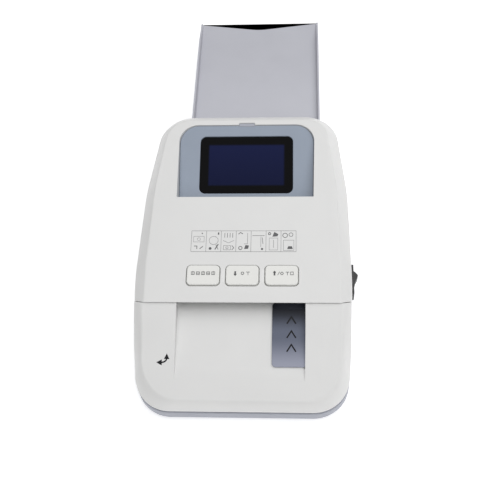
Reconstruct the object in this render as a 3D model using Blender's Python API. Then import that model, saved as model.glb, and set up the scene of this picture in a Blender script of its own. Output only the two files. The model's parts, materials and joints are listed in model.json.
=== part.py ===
"""Clam-shell banknote checker: white hinged cover over a sloped feed deck, with display, three
keys, side switch, sliding note guide and rear catch tray.  Sizes are millimetres in the tables
below; X to the user's right, Y from the nose to the rear, Z up.  Origin: bottom centre."""
import bpy
import bmesh
import math
from mathutils import Matrix, Vector

MM = 0.001

# ---- driving sizes -------------------------------------------------------------------------
BODY_LEN = 250.0          # nose to rear wall
TOTAL_LEN = 388.0         # nose to tray end
MID_X, MID_Y = 2.65, TOTAL_LEN / 2   # middle of the overall box
WALL = 2.4
GAP = 0.3

LIP_Y, LIP_Z = 70.0, 52.0         # front edge of the cover
COVER_SLOPE = 0.13                # rise per unit length
DECK_Z, DECK_SLOPE = 50.5, 0.364  # deck at the lip
WAIST_Z = 30.0                    # widest line, also the side seam
SHOULDER_Z, SHOULDER_IN = 50.0, 1.6   # upper end of the side walls, and how far they lean in

PAN_TOP = 12.0
FOOT_H = 4.0
CHANNEL = (-48.0, 46.5)           # note channel walls
FLOOR_Z, FLOOR_SLOPE = 40.6, 0.194
PATH_DROP = 0.0648                # fall of the note path towards the rear

RECESS_X = (53.0, 54.2)           # half width of the display recess, front and rear
RECESS_Y = (156.6, 221.8)
RECESS_R = 15.0
BEZEL_Z, BEZEL_SLOPE = 70.9, 0.306
WINDOW_X, WINDOW_Y = 36.9, (166.7, 212.5)

KEY_Y = (82.9, 99.1)
KEY_W, KEY_PITCH, KEY_R = 25.0, 29.1, 3.4

GUIDE_X, GUIDE_Y = (22.3, 47.2), (27.5, 79.0)
GUIDE_TRAVEL = 19.0
TRAY_X, TRAY_Z = (-52.0, 60.0), 23.0
RAIL_H, RAIL_LEAN = 8.2, 0.02     # tray rails: height over the tray's underside, outward lean
HINGE_Y, HINGE_Z = 239.0, 36.0
SWITCH_X, SWITCH_Y, SWITCH_Z = 83.9, 104.4, 21.5

DRIVE_Y = (118.0, 212.0)          # front and rear drive shafts
DRIVE_R, PINCH_R, SHAFT_R = 9.0, 5.5, 2.5
MOTOR_Y, MOTOR_Z, MOTOR_R = 165.0, 18.0, 11.0
PULLEY_R, PULLEY_X, MOTOR_PULLEY_R = 5.0, (-68.0, -61.0), 4.0
ROLLER_X = (-24.0, 24.0)
FEET = [(-58, 26), (58, 26), (-58, 222), (58, 222)]
SCREWS = [(-66, 52), (66, 52), (-64, 196), (64, 196)]

# Right-hand corners of each plan outline, front to rear: x, y, corner radius.
WALL_PLAN = [(77.5, 0.0, 27.0), (82.5, 90.0, 300.0), (81.3, 170.0, 200.0), (72.4, BODY_LEN, 30.0)]
COVER_PLAN = [(70.0, 0.0, 20.0), (72.4, 100.0, 300.0), (70.3, 165.0, 200.0), (62.2, 226.0, 17.5)]
DECK_PLAN = [(71.0, 5.0, 28.0), (71.6, 90.0, 300.0), (70.6, 170.0, 200.0), (63.0, 240.0, 20.0)]
ARC_STEPS = (9, 2, 2, 9)          # steps round each corner
RUN_STEPS = (5, 3, 2)             # steps along each straight between corners

# ---- materials -----------------------------------------------------------------------------
COLORS = {
    "white_shell": ((0.74, 0.74, 0.74), 0.45, 0.0), "key_white": ((0.78, 0.78, 0.76), 0.4, 0.0),
    "blue_grey": ((0.28, 0.32, 0.40), 0.4, 0.0), "tray_grey": ((0.48, 0.48, 0.54), 0.45, 0.0),
    "base_grey": ((0.34, 0.36, 0.42), 0.5, 0.0), "guide_grey": ((0.12, 0.13, 0.16), 0.2, 0.0),
    "dark_glass": ((0.01, 0.01, 0.012), 0.08, 0.0), "display_blue": ((0.014, 0.018, 0.055), 0.3, 0.0),
    "black_plastic": ((0.03, 0.03, 0.032), 0.45, 0.0), "dark_plastic": ((0.07, 0.075, 0.085), 0.5, 0.0),
    "rubber_black": ((0.02, 0.02, 0.02), 0.85, 0.0), "steel": ((0.55, 0.55, 0.56), 0.3, 1.0),
    "board_green": ((0.02, 0.13, 0.05), 0.5, 0.0), "motor_steel": ((0.42, 0.42, 0.44), 0.4, 1.0),
    "brass": ((0.55, 0.38, 0.12), 0.35, 1.0), "lamp_violet": ((0.16, 0.08, 0.34), 0.2, 0.0),
}


def material(name):
    mat = bpy.data.materials.get(name)
    if mat is None:
        color, rough, metal = COLORS[name]
        mat = bpy.data.materials.new(name)
        mat.use_nodes = True
        shader = mat.node_tree.nodes["Principled BSDF"]
        shader.inputs["Base Color"].default_value = (*color, 1.0)
        shader.inputs["Roughness"].default_value = rough
        shader.inputs["Metallic"].default_value = metal
        mat.diffuse_color = (*color, 1.0)
    return mat


# ---- surfaces ------------------------------------------------------------------------------
def cover_z(y):
    return LIP_Z + COVER_SLOPE * (y - LIP_Y)


def deck_z(y):
    return DECK_Z - DECK_SLOPE * (LIP_Y - y)


def floor_z(y):
    return FLOOR_Z - FLOOR_SLOPE * (LIP_Y - y)


def path_z(y):
    return 41.0 - PATH_DROP * (y - 80.0)


def bezel_z(y):
    return BEZEL_Z - BEZEL_SLOPE * (RECESS_Y[1] - y)


# ---- mesh helpers --------------------------------------------------------------------------
def solid(name, verts, faces, mat):
    mesh = bpy.data.meshes.new(name)
    mesh.from_pydata([((x - MID_X) * MM, (y - MID_Y) * MM, z * MM) for x, y, z in verts], [], faces)
    bm = bmesh.new()
    bm.from_mesh(mesh)
    bmesh.ops.recalc_face_normals(bm, faces=bm.faces)
    bm.to_mesh(mesh)
    bm.free()
    mesh.materials.append(material(mat))
    ob = bpy.data.objects.new(name, mesh)
    bpy.context.scene.collection.objects.link(ob)
    return ob


def stack(name, rings, mat):
    """Closed solid through rings of equal point count, first and last ring capped."""
    n = len(rings[0])
    verts = [p for ring in rings for p in ring]
    faces = [list(range(n))[::-1], [(len(rings) - 1) * n + i for i in range(n)]]
    for r in range(len(rings) - 1):
        for i in range(n):
            j = (i + 1) % n
            faces.append([r * n + i, r * n + j, (r + 1) * n + j, (r + 1) * n + i])
    return solid(name, verts, faces, mat)


def slab(name, outline, low, high, mat):
    """Plan outline between two heights, each a number or a function of Y."""
    lo = low if callable(low) else (lambda y: low)
    hi = high if callable(high) else (lambda y: high)
    return stack(name, [[(x, y, lo(y)) for x, y in outline], [(x, y, hi(y)) for x, y in outline]], mat)


def prism(name, profile, x0, x1, mat):
    """YZ profile run along X."""
    return stack(name, [[(x0, y, z) for y, z in profile], [(x1, y, z) for y, z in profile]], mat)


def box(name, xs, ys, zs, mat):
    return slab(name, rect(*xs, *ys), zs[0], zs[1], mat)


def rect(x0, x1, y0, y1):
    return [(x0, y0), (x1, y0), (x1, y1), (x0, y1)]


def round_poly(points, steps=5):
    """Counter-clockwise polygon of (x, y, radius) with rounded corners."""
    out = []
    for i, (x, y, r) in enumerate(points):
        if r <= 0.01:
            out.append((x, y))
            continue
        cx, cy, a0, a1 = corner(points[i - 1], (x, y), points[(i + 1) % len(points)], r)
        for k in range(steps + 1):
            a = a0 + (a1 - a0) * k / steps
            out.append((cx + r * math.cos(a), cy + r * math.sin(a)))
    return out


def corner(prev, here, nxt, r):
    """Centre and angle range of a convex corner arc."""
    ax, ay = here[0] - prev[0], here[1] - prev[1]
    bx, by = nxt[0] - here[0], nxt[1] - here[1]
    la, lb = math.hypot(ax, ay), math.hypot(bx, by)
    ax, ay, bx, by = ax / la, ay / la, bx / lb, by / lb
    turn = math.atan2(ax * by - ay * bx, ax * bx + ay * by)
    back = r * math.tan(turn / 2)
    cx, cy = here[0] - ax * back - ay * r, here[1] - ay * back + ax * r
    a0 = math.atan2(-ax, ay)
    return cx, cy, a0, a0 + turn


def round_rect(x0, x1, y0, y1, r, steps=4):
    return round_poly([(x0, y0, r), (x1, y0, r), (x1, y1, r), (x0, y1, r)], steps)


def circle(cx, cy, r, seg):
    turn = 2 * math.pi / seg
    return [(cx + r * math.cos(k * turn), cy + r * math.sin(k * turn)) for k in range(seg)]


def rod(name, x0, x1, y, z, r, mat, seg=20, bore=0.0):
    """Round bar along X, with an optional bore."""
    outer = circle(y, z, r, seg)
    if not bore:
        return prism(name, outer, x0, x1, mat)
    return ring_band(name, outer, circle(y, z, bore, seg), x0, x1, mat)


def ring_band(name, outer, inner, x0, x1, mat):
    """Closed band along X between two YZ loops of equal point count."""
    n = len(outer)
    verts = [(x, y, z) for x in (x0, x1) for loop in (outer, inner) for y, z in loop]
    faces = []
    for i in range(n):
        j = (i + 1) % n
        faces += [[i, j, 2 * n + j, 2 * n + i], [n + j, n + i, 3 * n + i, 3 * n + j],
                  [j, i, n + i, n + j], [2 * n + i, 2 * n + j, 3 * n + j, 3 * n + i]]
    return solid(name, verts, faces, mat)


def disc(name, x, y, r, z0, z1, mat, seg=24):
    return slab(name, circle(x, y, r, seg), z0, z1, mat)


def combine(target, other, how):
    mod = target.modifiers.new("op", "BOOLEAN")
    mod.operation, mod.solver, mod.object = how, "EXACT", other
    graph = bpy.context.evaluated_depsgraph_get()
    mesh = bpy.data.meshes.new_from_object(target.evaluated_get(graph))
    target.modifiers.clear()
    target.data = mesh
    bpy.data.objects.remove(other, do_unlink=True)
    return target


def cut(target, *others):
    for other in others:
        combine(target, other, "DIFFERENCE")
    return target


def join(target, *others):
    for other in others:
        combine(target, other, "UNION")
    return target


def keep(target, other):
    return combine(target, other, "INTERSECT")


# ---- body shape ----------------------------------------------------------------------------
def plan(half):
    """Closed outline as (centre x, centre y, radius, cos, sin), so any inset stays parallel."""
    chain = [(-half[0][0], half[0][1])] + [(x, y) for x, y, _ in half] + [(-half[-1][0], half[-1][1])]
    right = []
    for i, (x, y, r) in enumerate(half):
        cx, cy, a0, a1 = corner(chain[i], (x, y), chain[i + 2], r)
        if right:
            px, py, pr, c, s = right[-1]
            x0, y0, x1, y1 = px + pr * c, py + pr * s, cx + r * c, cy + r * s
            steps = RUN_STEPS[i - 1]
            right += [(x0 + (x1 - x0) * k / steps, y0 + (y1 - y0) * k / steps, 0.0, c, s)
                      for k in range(1, steps)]
        for k in range(ARC_STEPS[i] + 1):
            a = a0 + (a1 - a0) * k / ARC_STEPS[i]
            right.append((cx, cy, r, math.cos(a), math.sin(a)))
    return right + [(-cx, cy, r, -c, s) for cx, cy, r, c, s in reversed(right)]


def outline(half, inset=0.0):
    return [(cx + (r - inset) * c, cy + (r - inset) * s) for cx, cy, r, c, s in plan(half)]


def clamp(value):
    return min(1.0, max(0.0, value))


def wall_ring(inset, height):
    """One loop round the side walls; inset and height may depend on Y."""
    ring = []
    for cx, cy, r, c, s in plan(WALL_PLAN):
        d = inset(cy + r * s)
        y = cy + (r - d) * s
        ring.append((cx + (r - d) * c, y, height(y)))
    return ring


def shoulder_ring(low, high, t, rise):
    """Loop a fraction t of the way from one loop to another, at a fraction rise of the height."""
    return [(a[0] + (b[0] - a[0]) * t, a[1] + (b[1] - a[1]) * t, a[2] + (b[2] - a[2]) * rise)
            for a, b in zip(low, high)]


def cover_hull(name, s):
    """Outer form of the cover, or with s the cavity inside a wall of thickness s."""
    def shoulder_z(y):
        return SHOULDER_Z - COVER_SLOPE * max(0.0, 100.0 - y)
    low = wall_ring(lambda y: SHOULDER_IN + 1.15 * s, lambda y: shoulder_z(y) - 0.7 * s)
    high = [(x, y, cover_z(y) - s) for x, y in outline(COVER_PLAN, 0.5 * s)]
    rings = [wall_ring(lambda y: 0.3 + 1.1 * s, lambda y: 16.0),
             wall_ring(lambda y: 1.1 * s, lambda y: WAIST_Z - 1.0), low,
             shoulder_ring(low, high, 0.3, 0.38), shoulder_ring(low, high, 0.65, 0.73),
             shoulder_ring(low, high, 0.93, 0.97),
             [(x, y, cover_z(y) - s) for x, y in outline(COVER_PLAN, 1.2 + 0.5 * s)]]
    return stack(name, rings, "white_shell")


def deck_hull(name, s):
    """Outer form of the lower housing with its sloped deck, or with s its cavity."""
    def shoulder_z(y):
        return max(17.0, deck_z(y) - 6.0 - 8.0 * clamp((60.0 - y) / 30.0))

    def lean(y):
        if y > LIP_Y + 10:
            return 0.0
        return SHOULDER_IN * clamp((shoulder_z(y) - WAIST_Z) / (SHOULDER_Z - WAIST_Z))
    low = wall_ring(lambda y: lean(y) + 1.1 * s, lambda y: shoulder_z(y) - 0.6 * s)
    high = [(x, y, deck_z(y) - s) for x, y in outline(DECK_PLAN, 0.6 * s)]
    rings = [wall_ring(lambda y: 1.1 + 1.1 * s, lambda y: PAN_TOP + GAP - (6.0 if s else 0.0)),
             wall_ring(lambda y: 0.3 + 1.1 * s, lambda y: PAN_TOP + 2.5), low,
             shoulder_ring(low, high, 0.12, 0.22), shoulder_ring(low, high, 0.34, 0.55),
             shoulder_ring(low, high, 0.66, 0.87), shoulder_ring(low, high, 0.9, 0.985),
             [(x, y, deck_z(y) - s) for x, y in outline(DECK_PLAN, 1.5 + 0.6 * s)]]
    return stack(name, rings, "white_shell")


SEAM_BELOW = [(-20, 8), (-20, 90), (30, 90), (69.2, 52.2), (85.6, 29.7), (230.0, 29.7), (233.0, 27.7),
              (280, 27.7), (280, 8)]
SEAM_ABOVE = [(70.0, 90), (70.0, 51.2), (70.4, 51.2), (86.4, 30.0), (228.0, 30.0), (234.0, 40.0),
              (280, 40.0), (280, 90)]
FLOOR_PROFILE = [(-5.0, 28.8), (27.5, floor_z(27.5)), (70.0, floor_z(70.0)), (76.0, 41.1),
                 (82.0, 40.87), (87.8, 40.5)]


def make_lower_housing():
    ob = deck_hull("lower_housing", 0.0)
    keep(ob, prism("keep", SEAM_BELOW, -100, 100, "white_shell"))
    inner = deck_hull("inner", WALL)
    shelf = prism("shelf", [(y, z - 2.0) for y, z in FLOOR_PROFILE] + [(87.8, 80), (-5, 80)],
                  CHANNEL[0] - 2.2, 69.5, "white_shell")
    cut(inner, shelf)
    cut(ob, inner)
    cut(ob, prism("channel", FLOOR_PROFILE + [(95, 40.0), (95, 90), (-5, 90)], *CHANNEL, "white_shell"))
    front = GUIDE_Y[0] - 0.6
    pocket = [(front, floor_z(front) - 0.1), (70.0, floor_z(70.0) - 0.1), (76.0, 41.0), (88.5, 40.3),
              (88.5, 43.6), (76.0, 43.3), (69.0, floor_z(69.0) + 1.8), (front, floor_z(front) + 1.8)]
    cut(ob, prism("pocket", pocket, CHANNEL[1] - 1, GUIDE_X[1] + GUIDE_TRAVEL + 0.3, "white_shell"))
    cut(ob, box("tray_slot", (TRAY_X[0] + 2.0, TRAY_X[1] - 2.0), (232, 262), (TRAY_Z - GAP, TRAY_Z + 2.5),
                "white_shell"))
    cut(ob, box("jack_hole", (-37.4, -26.6), (236, 262), (10, 21.8), "white_shell"))
    cut(ob, box("switch_hole", (70, 90), (SWITCH_Y - 12.0, SWITCH_Y + 12.0),
                (SWITCH_Z - 4.9, SWITCH_Z + 4.9), "white_shell"))
    return ob


def recess_outline(grow):
    """Display recess in plan, square at the front and round at the rear."""
    (front, rear), (y0, y1) = RECESS_X, RECESS_Y
    return round_poly([(-front - grow, y0 - grow, 0), (front + grow, y0 - grow, 0),
                       (rear + grow, y1 + grow, RECESS_R + grow),
                       (-rear - grow, y1 + grow, RECESS_R + grow)], 6)


def make_cover():
    ob = cover_hull("upper_cover", 0.0)
    keep(ob, prism("keep", SEAM_ABOVE, -100, 100, "white_shell"))
    inner = cover_hull("inner", WALL)
    cut(inner, slab("well", recess_outline(1.8), lambda y: bezel_z(y) - 4.6, 90, "white_shell"))
    cut(ob, inner)
    cut(ob, slab("recess", recess_outline(0.0), lambda y: bezel_z(y) - 2.6, 90, "white_shell"))
    cut(ob, slab("panel_hole", rect(-39.4, 39.4, 163.6, 215.6), 30, 90, "white_shell"))
    notch = round_rect(-6.5, 6.5, 220.5, 223.6, 0.9)
    cut(ob, slab("notch", notch, lambda y: cover_z(y) - 1.3, 90, "white_shell"))
    for x in (-KEY_PITCH, 0.0, KEY_PITCH):
        hole = round_rect(x - KEY_W / 2 - GAP, x + KEY_W / 2 + GAP, KEY_Y[0] - GAP, KEY_Y[1] + GAP,
                          KEY_R + 0.2)
        cut(ob, slab("key_hole", hole, 40, 90, "white_shell"))
    return ob


def make_pan():
    ob = slab("base_pan", outline(WALL_PLAN), 3.0, PAN_TOP, "base_grey")
    cut(ob, slab("inside", outline(WALL_PLAN, 2.7), 5.4, 30, "base_grey"))
    for x, y in FEET:
        cut(ob, disc("pocket", x, y, 7.3, 1.0, 4.2, "base_grey"))
    for x, y in SCREWS:
        cut(ob, disc("hole", x, y, 1.9, 1.0, 9.0, "base_grey", 12))
        cut(ob, disc("sink", x, y, 3.6, 1.0, 4.0, "base_grey", 12))
    return ob


def make_keys():
    """Three key caps over their switches and board."""
    for name, x in (("key_left", -KEY_PITCH), ("key_middle", 0.0), ("key_right", KEY_PITCH)):
        x0, x1 = x - KEY_W / 2, x + KEY_W / 2
        base = round_rect(x0, x1, KEY_Y[0], KEY_Y[1], KEY_R)
        top = round_rect(x0 + 0.5, x1 - 0.5, KEY_Y[0] + 0.5, KEY_Y[1] - 0.5, KEY_R - 0.5)
        flange = rect(x0 - 1.2, x1 + 1.2, KEY_Y[0] - 0.2, KEY_Y[1] + 1.2)
        cap = stack(name, [[(px, py, cover_z(py) - 3.2) for px, py in base],
                           [(px, py, cover_z(py) + 0.7) for px, py in base],
                           [(px, py, cover_z(py) + 1.2) for px, py in top]], "key_white")
        join(cap, slab("flange", flange, lambda y: cover_z(y) - 3.6, lambda y: cover_z(y) - 2.8,
                       "key_white"))
        box(name.replace("key", "tact_switch"), (x - 3, x + 3), (88, 94), (46.9, 49.0), "black_plastic")
    slab("key_board", rect(-46, 46, 79.5, 103.5), 45.4, 46.6, "board_green")


def make_display():
    bezel = slab("display_bezel", recess_outline(-GAP), lambda y: bezel_z(y) - 2.3, bezel_z, "blue_grey")
    wx, (w0, w1) = WINDOW_X, WINDOW_Y
    cut(bezel, slab("open", round_rect(-wx - GAP, wx + GAP, w0 - GAP, w1 + GAP, 4.8), 20, 90, "blue_grey"))
    slab("display_window", round_rect(-wx, wx, w0, w1, 4.5), lambda y: bezel_z(y) - 2.2,
         lambda y: bezel_z(y) - 0.4, "dark_glass")
    slab("display_panel", rect(-38.6, 38.6, 165.0, 214.2), lambda y: bezel_z(y) - 7.4,
         lambda y: bezel_z(y) - 2.6, "display_blue")


def make_lower_path():
    """Floor of the note path with roller slots, and cheeks that carry the drive shafts and motor."""
    side = [(x, y) for x, y in outline(WALL_PLAN, 9.5) if 92 < y < 228 and x > 0]
    tail = [(62, 231), (49.3, 232), (49.3, 246)]
    right = [(72.0, 88.5)] + side + tail
    ob = slab("lower_path_plate", right + [(-x, y) for x, y in reversed(right)],
              lambda y: path_z(y) - 1.6, path_z, "dark_plastic")
    for side in (-1, 1):
        profile = [(104, 5.8), (224, 5.8), (224, path_z(224) - 1), (104, path_z(104) - 1)]
        join(ob, prism("cheek", profile, *sorted((side * 51.0, side * 53.0)), "dark_plastic"))
        for y in DRIVE_Y:
            cut(ob, rod("bore", side * 52 - 4, side * 52 + 4, y, drive_z(y), SHAFT_R + 0.3, "steel", 16))
    cut(ob, rod("spindle_bore", -56, -48, MOTOR_Y, MOTOR_Z, 2.0, "steel", 12))
    for y in DRIVE_Y:
        for x in ROLLER_X:
            cut(ob, box("slot", (x - 10.6, x + 10.6), (y - 8.6, y + 8.6), (28, 60), "steel"))
    cut(ob, box("lamp_slot", (-42, 42), (179, 185), (28, 60), "steel"))


def make_upper_path():
    """Upper guide plate of the note path, hung from the cover, with ears for the pinch axles."""
    profile = [(79.0, 43.9), (88.0, path_z(88) + 2.2), (240.0, path_z(240) + 2.2),
               (240.0, path_z(240) + 3.6), (88.0, path_z(88) + 3.6), (79.0, 45.1)]
    ob = prism("upper_path_plate", profile, -50.0, 50.0, "dark_plastic")
    for y in DRIVE_Y:
        z = pinch_z(y)
        ear = [(y - 4.5, path_z(y - 4.5) + 3.0), (y + 4.5, path_z(y + 4.5) + 3.0),
               (y + 3, z + 3.2), (y - 3, z + 3.2)]
        for side in (-1, 1):
            join(ob, prism("ear", ear, *sorted((side * 37.6, side * 39.6)), "dark_plastic"))
            cut(ob, rod("bore", side * 38.6 - 2, side * 38.6 + 2, y, z, 1.8, "steel", 12))
        for x in ROLLER_X:
            cut(ob, box("slot", (x - 10.6, x + 10.6), (y - 6.0, y + 6.0),
                        (path_z(y) - 1, path_z(y) + 5), "steel"))
    cut(ob, box("sensor_slot", (-45.5, 45.5), (141.7, 152.3), (30, 60), "steel"))
    for side in (-1, 1):
        for y, top in ((107.0, cover_z(107.0) - WALL - 0.9), (226.0, 65.0)):
            join(ob, box("post", sorted((side * 42.0, side * 48.0)), (y - 2.5, y + 2.5),
                         (path_z(y) + 3.0, top), "dark_plastic"))


def drive_z(y):
    return path_z(y) - DRIVE_R + 0.4


def pinch_z(y):
    return path_z(y) + 0.7 + PINCH_R


def make_drive():
    for tag, y in zip(("front", "rear"), DRIVE_Y):
        z = drive_z(y)
        end = 56.0 if tag == "front" else 61.0
        rod(f"drive_shaft_{tag}", -70.0, end, y, z, SHAFT_R, "steel", 16)
        rod(f"drive_pulley_{tag}", *PULLEY_X, y, z, PULLEY_R, "black_plastic", 24, SHAFT_R + 0.1)
        zp = pinch_z(y)
        rod(f"pinch_axle_{tag}", -41.0, 41.0, y, zp, 1.5, "steel", 12)
        for word, x in zip(("left", "right"), ROLLER_X):
            rod(f"drive_roller_{tag}_{word}", x - 10, x + 10, y, z, DRIVE_R, "rubber_black", 28,
                SHAFT_R + 0.1)
            rod(f"pinch_roller_{tag}_{word}", x - 9.5, x + 9.5, y, zp, PINCH_R, "black_plastic", 20, 1.6)
    rod("encoder_disc", 57.5, 58.7, DRIVE_Y[1], drive_z(DRIVE_Y[1]), 6.0, "black_plastic", 24,
        SHAFT_R + 0.1)
    rod("motor_can", -50.6, -14.0, MOTOR_Y, MOTOR_Z, MOTOR_R, "motor_steel", 28)
    rod("motor_spindle", -70.0, -50.9, MOTOR_Y, MOTOR_Z, 1.5, "steel", 12)
    rod("motor_pulley", *PULLEY_X, MOTOR_Y, MOTOR_Z, MOTOR_PULLEY_R, "brass", 20, 1.6)
    circles = [(y, drive_z(y), PULLEY_R) for y in DRIVE_Y] + [(MOTOR_Y, MOTOR_Z, MOTOR_PULLEY_R)]
    ring_band("drive_belt", belt_loop(circles, 1.5), belt_loop(circles, 0.4), -67.0, -62.0,
              "rubber_black")


def belt_loop(circles, extra, steps=64):
    """Taut loop round circles (y, z, radius), at a distance from their rims."""
    loop = []
    for k in range(steps):
        c, s = math.cos(2 * math.pi * k / steps), math.sin(2 * math.pi * k / steps)
        y, z, r = max(circles, key=lambda q: q[0] * c + q[1] * s + q[2])
        loop.append((y + (r + extra) * c, z + (r + extra) * s))
    return loop


def make_guide():
    (x0, x1), (y0, y1) = GUIDE_X, GUIDE_Y
    front = round_poly([(x0, y0, 2.6), (x1, y0, 2.0), (x1, LIP_Y, 0), (x0, LIP_Y, 0)], 4)
    ob = slab("note_guide", front, lambda y: floor_z(y) + 0.3, lambda y: floor_z(y) + 1.5, "guide_grey")
    rear = [(x0, LIP_Y - 0.5), (x1, LIP_Y - 0.5), (x1, y1), (x0 + 3.5, y1), (x0, y1 - 6.0)]
    return join(ob, slab("rear", rear, 41.4, 42.2, "guide_grey"))


def make_tray():
    """Catch tray: dished rear edge, and side rails that drop towards the rear."""
    x0, x1 = TRAY_X
    y0, y1, z = BODY_LEN + 0.6, TOTAL_LEN, TRAY_Z
    mid = (x0 + x1) / 2
    dish = [(mid + h, y1 - 3.75 * (1.0 + math.cos(math.pi * h / 42.0))) for h in range(42, -43, -6)]
    slope = [(y0, RAIL_H), (y1 - 30.0, RAIL_H), (y1 - 22.0, 7.0), (y1 - 12.0, 5.0), (y1 - 0.4, 4.0)]
    ob = slab("rear_tray", [(x0, y0), (x1, y0), (x1, y1)] + dish + [(x0, y1)], z, z + 2.2, "tray_grey")
    join(ob, slab("tongue", rect(x0 + 2.3, x1 - 2.3, 242.3, y0 + 1.0), z, z + 2.2, "tray_grey"))
    for edge, side in ((x0, -1), (x1, 1)):
        rings = [[(edge - side * 2.2, y, z + 1.0), (edge, y, z + 1.0),
                  (edge + side * RAIL_LEAN * h, y, z + h), (edge + side * (RAIL_LEAN * h - 1.6), y, z + h)]
                 for y, h in slope]
        join(ob, stack("rail", rings, "tray_grey"))
    return ob


def make_switch():
    """Rocker switch in the right wall: flanged frame and a rocker that turns about an upright axis."""
    y, z = SWITCH_Y, SWITCH_Z
    frame = box("switch_frame", (82.7, 84.2), (y - 13.0, y + 13.0), (z - 6.1, z + 6.1), "black_plastic")
    join(frame, box("barrel", (68.0, 83.0), (y - 11.8, y + 11.8), (z - 4.5, z + 4.5), "black_plastic"))
    cut(frame, box("well", (74.0, 90.0), (y - 9.4, y + 9.4), (z - 3.6, z + 3.6), "black_plastic"))
    rocker = [(-8.7, -1.2), (-8.7, 0.3), (-4.0, 0.8), (0.0, 1.9), (3.2, 3.4), (4.6, 3.7),
              (5.6, 3.3), (8.3, 0.9), (8.4, -3.0), (3.0, -5.0), (-3.0, -5.0), (-7.6, -3.0)]
    n = len(rocker)
    verts = [(SWITCH_X + out, y + along, z + h) for h in (-3.3, 3.3) for along, out in rocker]
    faces = [list(range(n)), list(range(n, 2 * n))[::-1]]
    faces += [[i, (i + 1) % n, n + (i + 1) % n, n + i] for i in range(n)]
    solid("switch_rocker", verts, faces, "black_plastic")


def make_hinges():
    """Fixed pins in forked brackets of the base; the cover's arms turn about them."""
    y, z = HINGE_Y, HINGE_Z
    arm_side = [(y - 2.4, z - 1.0), (y, z - 2.4), (y + 2.2, z - 0.8), (y + 1.6, z + 1.2),
                (y - 3.8, z + 14.0), (y - 8.0, z + 21.5), (y - 12.0, z + 21.5), (y - 7.4, z + 11.0),
                (y - 2.4, z + 2.0)]
    fork_side = [(y - 2.4, 5.8), (y + 2.2, 5.8), (y + 2.2, z + 1.2), (y + 1.0, z + 2.2),
                 (y - 1.0, z + 2.2), (y - 2.4, z + 1.2)]
    for word, side in (("left", -1), ("right", 1)):
        rod(f"hinge_pin_{word}", *sorted((side * 50.2, side * 58.8)), y, z, 1.1, "steel", 12)
        arm = prism(f"hinge_arm_{word}", arm_side, *sorted((side * 53.0, side * 56.0)), "dark_plastic")
        cut(arm, rod("bore", *sorted((side * 50, side * 60)), y, z, 1.4, "steel", 12))
        fork = prism(f"hinge_bracket_{word}", fork_side, *sorted((side * 50.6, side * 58.4)),
                     "dark_plastic")
        gap = box("gap", sorted((side * 52.7, side * 56.3)), (y - 6, y + 6), (z - 4, z + 6), "steel")
        cut(fork, gap, rod("bore", *sorted((side * 50, side * 60)), y, z, 1.4, "steel", 12))


def make_fittings():
    """Feet, base screws, board, power jack and the sensors of the note path."""
    for k, (x, y) in enumerate(FEET):
        disc(f"foot_{k + 1}", x, y, 7.0, 0.0, FOOT_H, "rubber_black", 20)
    for k, (x, y) in enumerate(SCREWS):
        ob = disc(f"base_screw_{k + 1}", x, y, 3.3, 3.1, 3.8, "steel", 12)
        join(ob, disc("shank", x, y, 1.6, 3.5, 11.0, "steel", 12))
    box("main_board", (-8, 49), (110, 200), (12.4, 14.0), "board_green")
    jack = box("dc_jack", (-37.0, -27.0), (238.0, 249.2), (12.4, 21.4), "black_plastic")
    bore = circle(-32.0, 16.9, 3.2, 20)
    cut(jack, stack("bore", [[(x, y, z) for x, z in bore] for y in (241.0, 256.0)], "black_plastic"))
    box("image_sensor", (-45, 45), (142.2, 151.8), (path_z(147) + 2.6, path_z(147) + 13.0),
        "black_plastic")
    box("magnetic_head", (-9, 9), (128.0, 136.0), (path_z(132) + 4.2, path_z(132) + 12.0), "steel")
    rod("uv_lamp", -40.0, 40.0, 182.0, path_z(182) - 5.4, 3.2, "lamp_violet", 16)


# ---- moving bodies: an empty on each joint's axis, with the pieces that move about it ----------
def body_axes():
    keys = {f"{word}_key": ((x, sum(KEY_Y) / 2, cover_z(sum(KEY_Y) / 2)), [f"key_{word}"])
            for word, x in (("left", -KEY_PITCH), ("middle", 0.0), ("right", KEY_PITCH))}
    axes = {"cover": ((MID_X, HINGE_Y, HINGE_Z),
                      ["upper_cover", "display_", "key_board", "tact_switch_", "upper_path", "hinge_arm_",
                       "image_sensor", "magnetic_head"]), **keys,
            "rocker": ((SWITCH_X, SWITCH_Y, SWITCH_Z), ["switch_rocker"]),
            "guide": ((GUIDE_X[0], GUIDE_Y[0], floor_z(GUIDE_Y[0])), ["note_guide"]),
            "tray": ((sum(TRAY_X) / 2, BODY_LEN, TRAY_Z), ["rear_tray"]),
            "motor_shaft": ((MID_X, MOTOR_Y, MOTOR_Z), ["motor_spindle", "motor_pulley"])}
    for tag, y in zip(("front", "rear"), DRIVE_Y):
        parts = [f"drive_shaft_{tag}", f"drive_pulley_{tag}", f"drive_roller_{tag}"]
        axes[f"{tag}_drive"] = ((MID_X, y, drive_z(y)), parts + ["encoder_disc"] * (tag == "rear"))
        axes[f"{tag}_pinch"] = ((MID_X, y, pinch_z(y)), [f"pinch_axle_{tag}", f"pinch_roller_{tag}"])
    return axes


def set_origin(ob, world):
    """Move an object's origin without moving its shape."""
    ob.data.transform(Matrix.Translation(-world))
    ob.location = world


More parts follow.
